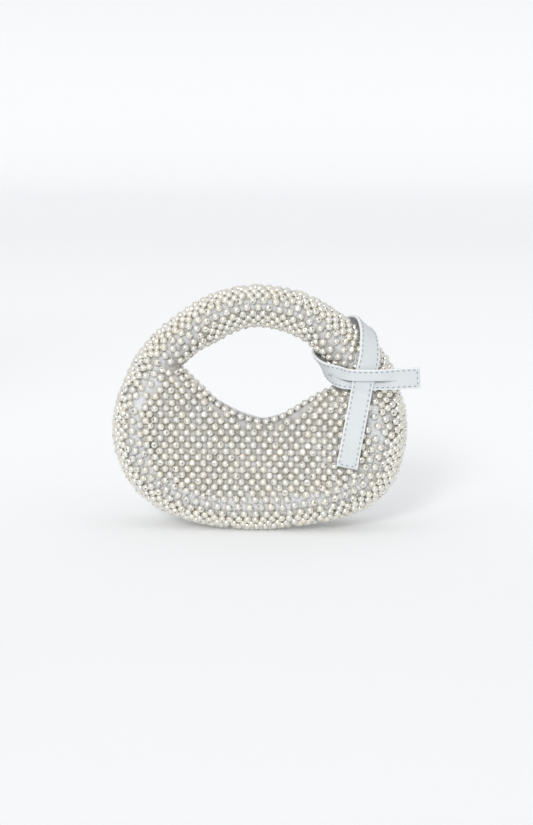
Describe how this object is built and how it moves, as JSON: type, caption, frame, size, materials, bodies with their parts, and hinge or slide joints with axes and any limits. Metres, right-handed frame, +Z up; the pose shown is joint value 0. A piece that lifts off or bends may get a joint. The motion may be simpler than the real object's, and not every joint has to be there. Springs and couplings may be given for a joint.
{
  "type": "mini handbag",
  "caption": "Ring-shaped mini handbag: a beaded pouch open under a stuffed round handle, with a slit leather strap looped over one shoulder.",
  "frame": {"origin": "middle of the flat underside of the gusset, on the surface that the bag stands on", "axes": "+X to the right seen from the front, +Y from the front to the back, +Z up"},
  "size_m": [0.2163, 0.0648, 0.1704],
  "materials": {
    "silver_beads": "metallised silver pearl beads with a warm white shine",
    "knit_cloth": "pale lilac grey knitted ground cloth",
    "facing_cloth": "smooth matt grey lilac cloth",
    "white_leather": "fine grained white leather, painted edges",
    "grey_thread": "twisted grey blue sewing thread"
  },
  "bodies": {
    "root": {"handle": "silver_beads", "front_panel": "silver_beads", "back_panel": "silver_beads", "gusset": "silver_beads", "mouth_facing": "facing_cloth", "leather_strap": "white_leather"}
  },
  "joints": []
}
